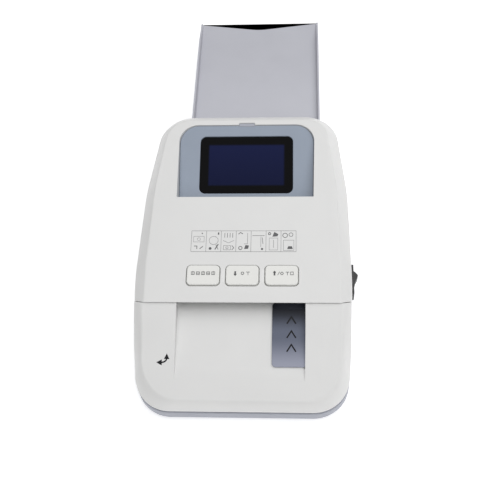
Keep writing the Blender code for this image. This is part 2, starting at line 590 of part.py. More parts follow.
def assemble():
    for ob in [o for o in bpy.data.objects if o.type == "MESH"]:
        ob.data.shade_smooth()
        ob.data.set_sharp_from_angle(angle=math.radians(32.0))
        set_origin(ob, sum((Vector(c) for c in ob.bound_box), Vector()) / 8)
    for body, (axis, starts) in body_axes().items():
        empty = bpy.data.objects.new(f"{body}_axis", None)
        empty.empty_display_size = 0.01
        bpy.context.scene.collection.objects.link(empty)
        empty.location = ((axis[0] - MID_X) * MM, (axis[1] - MID_Y) * MM, axis[2] * MM)
        for ob in [o for o in bpy.data.objects if o.type == "MESH" and o.name.startswith(tuple(starts))]:
            ob.parent = empty
            ob.location -= empty.location


for item in list(bpy.data.objects):
    bpy.data.objects.remove(item, do_unlink=True)
make_pan()
make_lower_housing()
make_cover()
make_display()
make_keys()
make_switch()
make_guide()
make_tray()
make_lower_path()
make_upper_path()
make_drive()
make_hinges()
make_fittings()
assemble()
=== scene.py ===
"""Looks of the banknote checker: fine shells, keys, display, guide, tray, printed marks and materials.
Shapes are written in millimetres, X from the body's middle, Y from the nose, Z up, as in the CAD."""
import bpy
import bmesh
import json
import math
from mathutils import Matrix, Vector


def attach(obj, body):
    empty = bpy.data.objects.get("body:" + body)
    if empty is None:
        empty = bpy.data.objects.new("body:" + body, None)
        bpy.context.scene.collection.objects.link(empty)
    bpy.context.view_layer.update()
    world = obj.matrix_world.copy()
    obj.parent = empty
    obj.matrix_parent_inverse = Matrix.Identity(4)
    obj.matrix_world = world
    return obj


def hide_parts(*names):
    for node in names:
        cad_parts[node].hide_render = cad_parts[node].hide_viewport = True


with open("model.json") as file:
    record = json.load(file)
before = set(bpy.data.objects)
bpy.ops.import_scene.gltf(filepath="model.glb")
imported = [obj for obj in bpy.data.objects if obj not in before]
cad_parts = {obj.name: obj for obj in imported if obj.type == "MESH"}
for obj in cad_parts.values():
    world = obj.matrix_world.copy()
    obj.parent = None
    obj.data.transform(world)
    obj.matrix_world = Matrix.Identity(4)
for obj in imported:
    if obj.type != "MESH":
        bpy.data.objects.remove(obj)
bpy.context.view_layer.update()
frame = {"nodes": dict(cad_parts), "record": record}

MM = 0.001

# ---- driving sizes, as in the CAD -----------------------------------------------------------
BODY_LEN, TOTAL_LEN = 250.0, 388.0
MID_X, MID_Y = 2.65, TOTAL_LEN / 2
WALL, GAP = 2.4, 0.3
LIP_Y, LIP_Z, COVER_SLOPE = 70.0, 52.0, 0.13
DECK_Z, DECK_SLOPE = 50.5, 0.364
WAIST_Z, SHOULDER_Z, SHOULDER_IN = 30.0, 50.0, 1.6
PAN_TOP = 12.0
CHANNEL = (-48.0, 46.5)
FLOOR_Z, FLOOR_SLOPE = 40.6, 0.194
RECESS_X, RECESS_Y, RECESS_R = (53.0, 54.2), (156.6, 221.8), 15.0
BEZEL_Z, BEZEL_SLOPE = 70.9, 0.306
WINDOW_X, WINDOW_Y = 36.9, (166.7, 212.5)
VIEW_X, VIEW_Y = 30.0, (173.1, 205.7)
KEY_Y, KEY_W, KEY_PITCH, KEY_R = (82.9, 99.1), 25.0, 29.1, 3.4
GUIDE_X, GUIDE_Y, GUIDE_TRAVEL = (22.3, 47.2), (27.5, 79.0), 19.0
TRAY_X, TRAY_Z = (-52.0, 60.0), 23.0
RAIL_H, RAIL_LEAN = 8.2, 0.02
SWITCH_X, SWITCH_Y, SWITCH_Z = 83.9, 104.4, 21.5
STRIP_X, STRIP_Y, STRIP_CELL = -39.4, (110.2, 127.4), 11.3   # printed strip: left edge, ends, cell width
SIGN_Y = 92.2                     # middle of the signs on the keys
CHEVRON_Y = (61.5, 51.0, 41.0)
FEET = [(-58, 26), (58, 26), (-58, 222), (58, 222)]
SCREWS = [(-66, 52), (66, 52), (-64, 196), (64, 196)]

# Right-hand corners of each plan outline, front to rear: x, y, corner radius.
WALL_PLAN = [(77.5, 0.0, 27.0), (82.5, 90.0, 300.0), (81.3, 170.0, 200.0), (72.4, BODY_LEN, 30.0)]
COVER_PLAN = [(70.0, 0.0, 20.0), (72.4, 100.0, 300.0), (70.3, 165.0, 200.0), (62.2, 226.0, 17.5)]
DECK_PLAN = [(71.0, 5.0, 28.0), (71.6, 90.0, 300.0), (70.6, 170.0, 200.0), (63.0, 240.0, 20.0)]
ARC_STEPS = (18, 6, 6, 18)
RUN_STEPS = (10, 6, 4)


# ---- surfaces -------------------------------------------------------------------------------
def cover_z(y):
    return LIP_Z + COVER_SLOPE * (y - LIP_Y)


def deck_z(y):
    return DECK_Z - DECK_SLOPE * (LIP_Y - y)


def floor_z(y):
    return FLOOR_Z - FLOOR_SLOPE * (LIP_Y - y)


def bezel_z(y):
    return BEZEL_Z - BEZEL_SLOPE * (RECESS_Y[1] - y)


def window_z(y):
    return bezel_z(y) - 0.4


# ---- materials ------------------------------------------------------------------------------
def node(tree, kind, **values):
    made = tree.nodes.new(kind)
    for key, value in values.items():
        if key in made.inputs:
            made.inputs[key].default_value = value
        else:
            setattr(made, key, value)
    return made


def noise(tree, scale, detail=2.0, stretch=(1, 1, 1)):
    """Noise over the part's own coordinates; scale counts features per metre."""
    coords = node(tree, "ShaderNodeTexCoord")
    place = node(tree, "ShaderNodeMapping")
    place.inputs["Scale"].default_value = stretch
    texture = node(tree, "ShaderNodeTexNoise", Scale=scale, Detail=detail)
    tree.links.new(coords.outputs["Object"], place.inputs["Vector"])
    tree.links.new(place.outputs["Vector"], texture.inputs["Vector"])
    return texture.outputs["Fac"]


def span(tree, value, low, high, from_low=0.3, from_high=0.7):
    ranged = node(tree, "ShaderNodeMapRange")
    ranged.inputs["From Min"].default_value = from_low
    ranged.inputs["From Max"].default_value = from_high
    ranged.inputs["To Min"].default_value = low
    ranged.inputs["To Max"].default_value = high
    tree.links.new(value, ranged.inputs["Value"])
    return ranged.outputs["Result"]


def blend_colors(tree, factor, first, second):
    """Mix of two colours, each a tuple or a socket."""
    mix = node(tree, "ShaderNodeMix", data_type="RGBA")
    tree.links.new(factor, mix.inputs["Factor"])
    for slot_name, color in (("A", first), ("B", second)):
        socket = [s for s in mix.inputs if s.name == slot_name and s.type == "RGBA"][0]
        if isinstance(color, tuple):
            socket.default_value = (*color, 1.0)
        else:
            tree.links.new(color, socket)
    return [s for s in mix.outputs if s.type == "RGBA"][0]


def surface(name, color, rough, metal=0.0, grain=0.0, grain_scale=2600.0, vary=0.03, worn=0.12, coat=0.0,
            stretch=(1, 1, 1)):
    """Moulded or metal surface: mottled colour, uneven gloss, moulded grain and lighter worn edges."""
    mat = bpy.data.materials.new(name)
    mat.use_nodes = True
    tree = mat.node_tree
    shader = tree.nodes["Principled BSDF"]
    shader.inputs["Metallic"].default_value = metal
    shader.inputs["Coat Weight"].default_value = coat
    shader.inputs["Coat Roughness"].default_value = 0.06
    dark = tuple(c * (1.0 - vary) for c in color)
    light = tuple(min(1.0, c * (1.0 + vary)) for c in color)
    mottled = blend_colors(tree, span(tree, noise(tree, 45.0, 3.0, stretch), 0.0, 1.0), dark, light)
    if worn:
        edge = node(tree, "ShaderNodeNewGeometry").outputs["Pointiness"]
        edges = span(tree, edge, 0.0, worn, 0.52, 0.62)
        mottled = blend_colors(tree, edges, mottled, tuple(min(1.0, c * 1.25 + 0.06) for c in color))
    tree.links.new(mottled, shader.inputs["Base Color"])
    gloss = span(tree, noise(tree, 160.0, 4.0, stretch), rough * 0.9, min(1.0, rough * 1.12))
    tree.links.new(gloss, shader.inputs["Roughness"])
    if grain:
        bump = node(tree, "ShaderNodeBump", Strength=grain, Distance=0.00004)
        tree.links.new(noise(tree, grain_scale, 2.0, stretch), bump.inputs["Height"])
        tree.links.new(bump.outputs["Normal"], shader.inputs["Normal"])
    return mat


def along(tree, axis, low, high):
    """Ramp from 0 to 1 along a design axis, between two places in millimetres."""
    shift = (MID_X, MID_Y, 0.0)[axis]
    split = node(tree, "ShaderNodeSeparateXYZ")
    tree.links.new(node(tree, "ShaderNodeTexCoord").outputs["Object"], split.inputs[0])
    ranged = node(tree, "ShaderNodeMapRange", interpolation_type="SMOOTHSTEP")
    ranged.inputs["From Min"].default_value = (low - shift) * MM
    ranged.inputs["From Max"].default_value = (high - shift) * MM
    tree.links.new(split.outputs[axis], ranged.inputs["Value"])
    return ranged.outputs["Result"]


def multiply(tree, *values):
    result = values[0]
    for value in values[1:]:
        times = node(tree, "ShaderNodeMath", operation="MULTIPLY")
        tree.links.new(result, times.inputs[0])
        tree.links.new(value, times.inputs[1])
        result = times.outputs[0]
    return result


# Panel blue at the front and at the rear of the view; the brightening between them is painted light.
BLUE_LOW, BLUE_HIGH = (0.0085, 0.0115, 0.042), (0.0115, 0.0155, 0.06)


def display_glass():
    """Black-bordered window over a dark blue panel with its faint dot grid, the blue brightening towards
    the rear as painted light.
    """
    mat = surface("display_glass", (0.005, 0.005, 0.0055), 0.16, vary=0.05, worn=0.0)
    tree = mat.node_tree
    shader = tree.nodes["Principled BSDF"]
    shader.inputs["Specular IOR Level"].default_value = 0.025
    border = shader.inputs["Base Color"].links[0].from_socket
    soft = 0.9
    inside = multiply(tree, along(tree, 0, -VIEW_X - soft, -VIEW_X + soft),
                      along(tree, 0, VIEW_X + soft, VIEW_X - soft),
                      along(tree, 1, VIEW_Y[0] - soft, VIEW_Y[0] + soft),
                      along(tree, 1, VIEW_Y[1] + soft, VIEW_Y[1] - soft))
    # painted light: the panel's blue brightens from the front of the view to its rear
    painted_light_blue = blend_colors(tree, along(tree, 1, VIEW_Y[0] - 6, VIEW_Y[1] + 6), BLUE_LOW, BLUE_HIGH)
    wave = node(tree, "ShaderNodeTexWave", Scale=260.0, bands_direction="DIAGONAL", Distortion=0.0)
    tree.links.new(node(tree, "ShaderNodeTexCoord").outputs["Object"], wave.inputs["Vector"])
    grid = span(tree, wave.outputs["Fac"], 0.0, 0.16, 0.0, 1.0)
    dots = blend_colors(tree, grid, painted_light_blue, (0.004, 0.004, 0.012))
    tree.links.new(blend_colors(tree, inside, border, dots), shader.inputs["Base Color"])
    return mat


def guide_painted_reflection_shadow():
    """Guide with a colour ramp of painted light along it: a painted reflection from dark at the mouth to
    pale at the front, and a near-black painted shadow under the cover's lip.
    """
    mat = surface("guide_painted_reflection_shadow", (0.2, 0.22, 0.28), 0.24, vary=0.02, worn=0.35, coat=0.04)
    tree = mat.node_tree
    shader = tree.nodes["Principled BSDF"]
    shader.inputs["Specular IOR Level"].default_value = 0.12
    # painted reflection: the guide's blue-grey runs from dark at Y 50 to pale at Y 26
    painted_light_ramp = blend_colors(tree, along(tree, 1, 50.0, 26.0), (0.125, 0.14, 0.19), (0.325, 0.34, 0.42))
    # painted shadow: near black from Y 52 to Y 69, where the cover's lip overhangs the guide
    painted_light_ramp = blend_colors(tree, along(tree, 1, 52.0, 69.0), painted_light_ramp, (0.012, 0.014, 0.022))
    # painted highlight: the guide's edges are mixed towards a pale blue-grey, on top of the wear from
    # surface()
    edge = span(tree, node(tree, "ShaderNodeNewGeometry").outputs["Pointiness"], 0.0, 0.08, 0.52, 0.6)
    tree.links.new(blend_colors(tree, edge, painted_light_ramp, (0.4, 0.43, 0.5)), shader.inputs["Base Color"])
    return mat


MATERIALS = {
    "white_shell": surface("white_shell", (0.735, 0.735, 0.73), 0.42, grain=0.35, vary=0.008, worn=0.25),
    "key_white": surface("key_white", (0.79, 0.79, 0.765), 0.34, grain=0.15, vary=0.006, worn=0.3),
    "blue_grey": surface("blue_grey", (0.272, 0.318, 0.394), 0.38, grain=0.3, vary=0.015, worn=0.3),
    "tray_grey": surface("tray_grey", (0.5, 0.505, 0.555), 0.42, grain=0.3, vary=0.015, worn=0.3),
    "base_grey": surface("base_grey", (0.37, 0.385, 0.44), 0.48, grain=0.45, vary=0.02, worn=0.25),
    "guide_grey": guide_painted_reflection_shadow(),
    "dark_glass": display_glass(),
    "display_blue": surface("display_blue", (0.02, 0.03, 0.09), 0.3, vary=0.05, worn=0.0),
    "black_plastic": surface("black_plastic", (0.03, 0.03, 0.031), 0.42, grain=0.4, vary=0.08, worn=0.3),
    "dark_plastic": surface("dark_plastic", (0.075, 0.08, 0.09), 0.5, grain=0.5, vary=0.06, worn=0.25),
    "rubber_black": surface("rubber_black", (0.022, 0.022, 0.022), 0.82, grain=0.8,
                            grain_scale=1800.0, vary=0.12, worn=0.4),
    "steel": surface("steel", (0.6, 0.6, 0.61), 0.26, 1.0, 0.3, 900.0, 0.04, 0.0, stretch=(0.05, 1, 1)),
    "board_green": surface("board_green", (0.018, 0.12, 0.045), 0.36, grain=0.5,
                           grain_scale=900.0, vary=0.12, worn=0.0, coat=0.4),
    "motor_steel": surface("motor_steel", (0.46, 0.46, 0.47), 0.36, 1.0, 0.4, 700.0, 0.06, 0.0,
                           stretch=(0.1, 1, 1)),
    "brass": surface("brass", (0.6, 0.42, 0.15), 0.3, 1.0, 0.3, 900.0, 0.05, 0.0),
    "lamp_violet": surface("lamp_violet", (0.13, 0.07, 0.3), 0.1, vary=0.05, worn=0.0, coat=0.8),
}
INK = surface("ink", (0.018, 0.018, 0.02), 0.65, vary=0.15, worn=0.0)
INK.node_tree.nodes["Principled BSDF"].inputs["Specular IOR Level"].default_value = 0.1
INK_GREY = surface("ink_grey", (0.11, 0.11, 0.115), 0.6, vary=0.1, worn=0.0)
INK_PALE = surface("ink_pale", (0.27, 0.27, 0.275), 0.6, vary=0.05, worn=0.0)


# ---- mesh helpers ---------------------------------------------------------------------------
def solid(name, verts, faces, slot="white_shell"):
    mesh = bpy.data.meshes.new(name)
    mesh.from_pydata([((x - MID_X) * MM, (y - MID_Y) * MM, z * MM) for x, y, z in verts], [], faces)
    bm = bmesh.new()
    bm.from_mesh(mesh)
    bmesh.ops.recalc_face_normals(bm, faces=bm.faces)
    bm.to_mesh(mesh)
    bm.free()
    mesh.materials.append(MATERIALS[slot])
    ob = bpy.data.objects.new(name, mesh)
    bpy.context.scene.collection.objects.link(ob)
    return ob


def stack(name, rings, slot="white_shell"):
    """Closed solid through rings of equal point count."""
    n = len(rings[0])
    verts = [p for ring in rings for p in ring]
    faces = [list(range(n))[::-1], [(len(rings) - 1) * n + i for i in range(n)]]
    for r in range(len(rings) - 1):
        for i in range(n):
            j = (i + 1) % n
            faces.append([r * n + i, r * n + j, (r + 1) * n + j, (r + 1) * n + i])
    return solid(name, verts, faces, slot)


def slab(name, outline_points, low, high, slot="white_shell"):
    """Plan outline between two heights, each a number or a function of Y."""
    lo = low if callable(low) else (lambda y: low)
    hi = high if callable(high) else (lambda y: high)
    rings = [[(x, y, height(y)) for x, y in outline_points] for height in (lo, hi)]
    return stack(name, rings, slot)


def prism(name, profile, x0, x1, slot="white_shell"):
    return stack(name, [[(x, y, z) for y, z in profile] for x in (x0, x1)], slot)


def box(name, xs, ys, zs, slot="white_shell"):
    return slab(name, rect(*xs, *ys), zs[0], zs[1], slot)


def rect(x0, x1, y0, y1):
    return [(x0, y0), (x1, y0), (x1, y1), (x0, y1)]


def corner(prev, here, nxt, r):
    """Centre and angle range of a convex corner arc."""
    ax, ay = here[0] - prev[0], here[1] - prev[1]
    bx, by = nxt[0] - here[0], nxt[1] - here[1]
    la, lb = math.hypot(ax, ay), math.hypot(bx, by)
    ax, ay, bx, by = ax / la, ay / la, bx / lb, by / lb
    turn = math.atan2(ax * by - ay * bx, ax * bx + ay * by)
    back = r * math.tan(turn / 2)
    start = math.atan2(-ax, ay)
    return here[0] - ax * back - ay * r, here[1] - ay * back + ax * r, start, start + turn


def round_poly(points, steps=10):
    out = []
    for i, (x, y, r) in enumerate(points):
        if r <= 0.01:
            out.append((x, y))
            continue
        cx, cy, a0, a1 = corner(points[i - 1], (x, y), points[(i + 1) % len(points)], r)
        turns = [a0 + (a1 - a0) * k / steps for k in range(steps + 1)]
        out += [(cx + r * math.cos(a), cy + r * math.sin(a)) for a in turns]
    return out


def round_rect(x0, x1, y0, y1, r, steps=8):
    return round_poly([(x0, y0, r), (x1, y0, r), (x1, y1, r), (x0, y1, r)], steps)


def circle(x, y, r, steps=40):
    return [(x + r * math.cos(2 * math.pi * k / steps), y + r * math.sin(2 * math.pi * k / steps))
            for k in range(steps)]


def combine(target, other, how):
    mod = target.modifiers.new("op", "BOOLEAN")
    mod.operation, mod.solver, mod.object = how, "EXACT", other
    graph = bpy.context.evaluated_depsgraph_get()
    mesh = bpy.data.meshes.new_from_object(target.evaluated_get(graph))
    target.modifiers.clear()
    target.data = mesh
    bpy.data.objects.remove(other, do_unlink=True)
    return target


def cut(target, *others):
    for other in others:
        combine(target, other, "DIFFERENCE")
    return target


def join(target, *others):
    for other in others:
        combine(target, other, "UNION")
    return target


def keep(target, other):
    return combine(target, other, "INTERSECT")


def soften(ob, width=0.35, segments=3, angle=34.0):
    """Smooth shading with small rounded edges."""
    bm = bmesh.new()
    bm.from_mesh(ob.data)
    bmesh.ops.remove_doubles(bm, verts=bm.verts, dist=0.03 * MM)
    bmesh.ops.dissolve_limit(bm, angle_limit=math.radians(0.4), verts=bm.verts, edges=bm.edges)
    bm.to_mesh(ob.data)
    bm.free()
    ob.data.shade_smooth()
    bevel = ob.modifiers.new("edges", "BEVEL")
    bevel.width, bevel.segments, bevel.limit_method = width * MM, segments, "ANGLE"
    bevel.angle_limit, bevel.use_clamp_overlap, bevel.miter_outer = math.radians(angle), False, "MITER_ARC"
    normals = ob.modifiers.new("normals", "WEIGHTED_NORMAL")
    normals.keep_sharp = True
    return ob


def stand_in(ob, body, slot, *nodes):
    """A finer piece that rides on a body in place of CAD nodes."""
    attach(ob, body)
    if nodes:
        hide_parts(*nodes)
    return ob


# ---- body shape -----------------------------------------------------------------------------
def plan(half):
    """Closed outline as (centre x, centre y, radius, cos, sin), so any inset stays parallel."""
    chain = [(-half[0][0], half[0][1])] + [(x, y) for x, y, _ in half] + [(-half[-1][0], half[-1][1])]
    right = []
    for i, (x, y, r) in enumerate(half):
        cx, cy, a0, a1 = corner(chain[i], (x, y), chain[i + 2], r)
        if right:
            px, py, pr, c, s = right[-1]
            x0, y0, x1, y1 = px + pr * c, py + pr * s, cx + r * c, cy + r * s
            steps = RUN_STEPS[i - 1]
            right += [(x0 + (x1 - x0) * k / steps, y0 + (y1 - y0) * k / steps, 0.0, c, s)
                      for k in range(1, steps)]
        for k in range(ARC_STEPS[i] + 1):
            a = a0 + (a1 - a0) * k / ARC_STEPS[i]
            right.append((cx, cy, r, math.cos(a), math.sin(a)))
    return right + [(-cx, cy, r, -c, s) for cx, cy, r, c, s in reversed(right)]


def outline(half, inset=0.0):
    return [(cx + (r - inset) * c, cy + (r - inset) * s) for cx, cy, r, c, s in plan(half)]


def clamp(value):
    return min(1.0, max(0.0, value))


def wall_ring(inset, height):
    """One loop round the side walls; inset and height may depend on Y."""
    ring = []
    for cx, cy, r, c, s in plan(WALL_PLAN):
        d = inset(cy + r * s)
        y = cy + (r - d) * s
        ring.append((cx + (r - d) * c, y, height(y)))
    return ring


def between(low, high, t, rise):
    """Loop a fraction t of the way from one loop to another, at a fraction rise of the height."""
    return [(a[0] + (b[0] - a[0]) * t, a[1] + (b[1] - a[1]) * t, a[2] + (b[2] - a[2]) * rise)
            for a, b in zip(low, high)]


def cover_hull(name, s):
    """Outer form of the cover, or with s the cavity inside a wall of thickness s."""
    def shoulder_z(y):
        return SHOULDER_Z - COVER_SLOPE * max(0.0, 100.0 - y)
    low = wall_ring(lambda y: SHOULDER_IN + 1.15 * s, lambda y: shoulder_z(y) - 0.7 * s)
    high = [(x, y, cover_z(y) - s) for x, y in outline(COVER_PLAN, 0.5 * s)]
    rings = [wall_ring(lambda y: 0.3 + 1.1 * s, lambda y: 16.0),
             wall_ring(lambda y: 1.1 * s, lambda y: WAIST_Z - 1.0),
             wall_ring(lambda y: 0.55 + 1.1 * s, lambda y: WAIST_Z + 8.0),
             wall_ring(lambda y: 1.15 + 1.1 * s, lambda y: shoulder_z(y) - 3.5 - 0.7 * s), low]
    for k in range(1, 10):
        t = k / 10.0
        rings.append(between(low, high, t, 1.0 - (1.0 - t) ** 1.15))
    rings.append(between(low, high, 0.96, 0.976))
    rings.append([(x, y, cover_z(y) - s - 0.05) for x, y in outline(COVER_PLAN, 0.3 + 0.5 * s)])
    rings.append([(x, y, cover_z(y) - s) for x, y in outline(COVER_PLAN, 1.4 + 0.5 * s)])
    return stack(name, rings)


def deck_hull(name, s):
    """Outer form of the lower housing with its sloped deck, or with s its cavity."""
    def shoulder_z(y):
        return max(17.0, deck_z(y) - 6.0 - 8.0 * clamp((60.0 - y) / 30.0))

    def lean(y):
        if y >= LIP_Y + 10:
            return 0.0
        return SHOULDER_IN * clamp((shoulder_z(y) - WAIST_Z) / (SHOULDER_Z - WAIST_Z))
    low = wall_ring(lambda y: lean(y) + 1.1 * s, lambda y: shoulder_z(y) - 0.6 * s)
    high = [(x, y, deck_z(y) - s) for x, y in outline(DECK_PLAN, 0.6 * s)]
    rings = [wall_ring(lambda y: 1.1 + 1.1 * s, lambda y: PAN_TOP + GAP - (6.0 if s else 0.0)),
             wall_ring(lambda y: 0.3 + 1.1 * s, lambda y: PAN_TOP + 2.5), low]
    for t in (0.03, 0.08, 0.15, 0.23, 0.32, 0.42, 0.52, 0.63, 0.74, 0.85, 0.94):
        rings.append(between(low, high, t, 1.0 - (1.0 - t) ** 1.9))
    rings.append([(x, y, deck_z(y) - s) for x, y in outline(DECK_PLAN, 1.5 + 0.6 * s)])
    return stack(name, rings)


SEAM_BELOW = [(-20, 8), (-20, 90), (30, 90), (69.2, 52.2), (85.6, 29.7), (230.0, 29.7), (233.0, 27.7),
              (280, 27.7), (280, 8)]
SEAM_ABOVE = [(70.0, 90), (70.0, 51.2), (70.4, 51.2), (86.4, 30.0), (228.0, 30.0), (234.0, 40.0),
              (280, 40.0), (280, 90)]
FLOOR_PROFILE = [(-5.0, 28.8), (27.5, floor_z(27.5)), (70.0, floor_z(70.0)), (76.0, 41.1),
                 (82.0, 40.87), (87.8, 40.5)]


def make_lower_housing():
    ob = deck_hull("housing_shell", 0.0)
    keep(ob, prism("keep", SEAM_BELOW, -100, 100))
    inner = deck_hull("inner", WALL)
    shelf = [(y, z - 2.0) for y, z in FLOOR_PROFILE] + [(87.8, 80), (-5, 80)]
    cut(inner, prism("shelf", shelf, CHANNEL[0] - 2.2, 69.5))
    cut(ob, inner)
    cut(ob, prism("channel", FLOOR_PROFILE + [(95, 40.0), (95, 90), (-5, 90)], *CHANNEL))
    front = GUIDE_Y[0] - 0.6
    pocket = [(front, floor_z(front) - 0.1), (70.0, floor_z(70.0) - 0.1), (76.0, 41.0), (88.5, 40.3),
              (88.5, 43.6), (76.0, 43.3), (69.0, floor_z(69.0) + 1.8), (front, floor_z(front) + 1.8)]
    cut(ob, prism("pocket", pocket, CHANNEL[1] - 1, GUIDE_X[1] + GUIDE_TRAVEL + 0.3))
    cut(ob, box("tray_slot", (TRAY_X[0] + 2.0, TRAY_X[1] - 2.0), (232, 262), (TRAY_Z - GAP, TRAY_Z + 2.5)))
    cut(ob, box("jack_hole", (-37.4, -26.6), (236, 262), (10, 21.8)))
    cut(ob, box("switch_hole", (70, 90), (SWITCH_Y - 12.0, SWITCH_Y + 12.0),
                (SWITCH_Z - 4.9, SWITCH_Z + 4.9)))
    soften(ob, 0.35)
    return stand_in(ob, "base", "white_shell", "lower_housing")


def recess_outline(grow):
    """Display recess in plan, square at the front and round at the rear."""
    (front, rear), (y0, y1) = RECESS_X, RECESS_Y
    return round_poly([(-front - grow, y0 - grow, 0), (front + grow, y0 - grow, 0),
                       (rear + grow, y1 + grow, RECESS_R + grow),
                       (-rear - grow, y1 + grow, RECESS_R + grow)], 14)


def make_cover():
    ob = cover_hull("cover_shell", 0.0)
    keep(ob, prism("keep", SEAM_ABOVE, -100, 100))
    inner = cover_hull("inner", WALL)
    cut(inner, slab("well", recess_outline(1.8), lambda y: bezel_z(y) - 4.6, 90))
    cut(ob, inner)
    cut(ob, slab("recess", recess_outline(0.0), lambda y: bezel_z(y) - 2.6, 90))
    cut(ob, slab("panel_hole", rect(-39.4, 39.4, 163.6, 215.6), 30, 90))
    cut(ob, slab("notch", round_rect(-6.5, 6.5, 220.5, 223.6, 0.9), lambda y: cover_z(y) - 1.3, 90))
    for x in (-KEY_PITCH, 0.0, KEY_PITCH):
        hole = round_rect(x - KEY_W / 2 - GAP, x + KEY_W / 2 + GAP, KEY_Y[0] - GAP, KEY_Y[1] + GAP,
                          KEY_R + 0.2)
        cut(ob, slab("key_hole", hole, 40, 90))
    soften(ob, 0.3)
    return stand_in(ob, "cover", "white_shell", "upper_cover")


def make_pan():
    ob = slab("pan_shell", outline(WALL_PLAN), 3.0, PAN_TOP, "base_grey")
    cut(ob, slab("inside", outline(WALL_PLAN, 2.7), 5.4, 30))
    for x, y in FEET:
        cut(ob, slab("pocket", circle(x, y, 7.3), 1.0, 4.2))
    for x, y in SCREWS:
        cut(ob, slab("hole", circle(x, y, 1.9), 1.0, 9.0), slab("sink", circle(x, y, 3.6), 1.0, 4.0))
    for row in range(5):
        for x in (-34.0, 34.0):
            vent = round_rect(x - 12.0, x + 12.0, 100.0 + 9.0 * row, 102.2 + 9.0 * row, 1.0)
            cut(ob, slab("vent", vent, 1.0, 4.4))
    soften(ob, 0.7)
    return stand_in(ob, "base", "base_grey", "base_pan")


def make_display():
    bezel = slab("display_surround", recess_outline(-GAP), lambda y: bezel_z(y) - 2.3, bezel_z, "blue_grey")
    cut(bezel, box("front_gap", (-60, 60), (150, RECESS_Y[0] + 0.9), (40, 60)))
    wx, (w0, w1) = WINDOW_X, WINDOW_Y
    opening = round_rect(-wx - GAP, wx + GAP, w0 - GAP, w1 + GAP, 4.8, 10)
    cut(bezel, slab("open", opening, 20, 90))
    soften(bezel, 0.3)
    stand_in(bezel, "cover", "blue_grey", "display_bezel")
    glass = slab("window_glass", round_rect(-wx, wx, w0, w1, 4.5, 10), lambda y: bezel_z(y) - 2.2, window_z,
                 "dark_glass")
    soften(glass, 0.25)
    # painted shade: a dark grey sheet laid in the pry notch, where the notch only holds shadow
    notch_shade_sheet = slab("notch_painted_shade", round_rect(-6.3, 6.3, 220.7, 223.4, 0.8), lambda y: cover_z(y) - 1.25,
               lambda y: cover_z(y) - 0.7, "base_grey")
    soften(notch_shade_sheet, 0.15)
    stand_in(notch_shade_sheet, "cover", "base_grey")
    stand_in(glass, "cover", "dark_glass", "display_window")


def make_keys():
    """Key caps with a soft dished top and rounded shoulders."""
    for name, x in (("left", -KEY_PITCH), ("middle", 0.0), ("right", KEY_PITCH)):
        rings = []
        x0, x1 = x - KEY_W / 2, x + KEY_W / 2
        steps = [(0.4, -3.2), (0.4, 0.45), (0.46, 0.75), (0.58, 0.98), (0.78, 1.13), (1.1, 1.2),
                 (1.7, 1.17), (3.4, 1.08), (6.2, 1.02)]
        for inset, lift in steps:
            loop = round_rect(x0 + inset, x1 - inset, KEY_Y[0] + inset, KEY_Y[1] - inset,
                              max(0.6, KEY_R - inset), 8)
            rings.append([(px, py, cover_z(py) + lift) for px, py in loop])
        cap = stack(f"keycap_{name}", rings, "key_white")
        flange = rect(x0 - 1.2, x1 + 1.2, KEY_Y[0] - 0.2, KEY_Y[1] + 1.2)
        join(cap, slab("flange", flange, lambda y: cover_z(y) - 3.6, lambda y: cover_z(y) - 2.8))
        soften(cap, 0.15, 2, 50.0)
        stand_in(cap, f"{name}_key", "key_white", f"key_{name}")


def make_guide():
    (x0, x1), (y0, y1) = GUIDE_X, GUIDE_Y
    front = round_poly([(x0, y0, 2.8), (x1, y0, 2.2), (x1, LIP_Y, 0), (x0, LIP_Y, 0)], 8)
    ob = slab("guide_plate", front, lambda y: floor_z(y) + 0.3, lambda y: floor_z(y) + 1.5, "guide_grey")
    rear = [(x0, LIP_Y - 0.5), (x1, LIP_Y - 0.5), (x1, y1), (x0 + 3.5, y1), (x0, y1 - 6.0)]
    join(ob, slab("rear", rear, 41.4, 42.2))
    soften(ob, 0.4, 3, 40.0)
    stand_in(ob, "guide", "guide_grey", "note_guide")
    marks = Marks(lambda y: floor_z(y) + 1.5)
    mid = (x0 + x1) / 2 + 1.6
    for y in CHEVRON_Y:
        marks.line([(mid - 3.3, y - 2.6), (mid, y + 2.6), (mid + 3.3, y - 2.6)], 1.0)
    marks.finish("guide_chevrons", "guide", "black_plastic", INK)


def make_tray():
    """Catch tray: dished rear edge, and side rails that drop towards the rear."""
    x0, x1 = TRAY_X
    y0, y1, z = BODY_LEN + 0.6, TOTAL_LEN, TRAY_Z
    mid = (x0 + x1) / 2
    dish = [(mid + h, y1 - 7.5 * (0.5 + 0.5 * math.cos(math.pi * h / 42.0))) for h in range(42, -43, -3)]
    ob = slab("tray_plate", [(x0, y0), (x1, y0), (x1, y1)] + dish + [(x0, y1)], z, z + 2.2, "tray_grey")
    join(ob, slab("tongue", rect(x0 + 2.3, x1 - 2.3, 242.3, y0 + 1.0), z, z + 2.2))
    runs = [(y0, RAIL_H), (y1 - 30.0, RAIL_H)]
    for k in range(1, 13):
        fall = 0.5 - 0.5 * math.cos(math.pi * k / 12)
        runs.append((y1 - 30.0 + 29.6 * k / 12, RAIL_H - (RAIL_H - 4.0) * fall))
    for edge, side in ((x0, -1), (x1, 1)):
        rings = [[(edge - side * 2.2, y, z + 1.0), (edge, y, z + 1.0),
                  (edge + side * RAIL_LEAN * h, y, z + h), (edge + side * (RAIL_LEAN * h - 1.6), y, z + h)]
                 for y, h in runs]
        join(ob, stack("rail", rings))
    soften(ob, 0.4)
    return stand_in(ob, "tray", "tray_grey", "rear_tray")


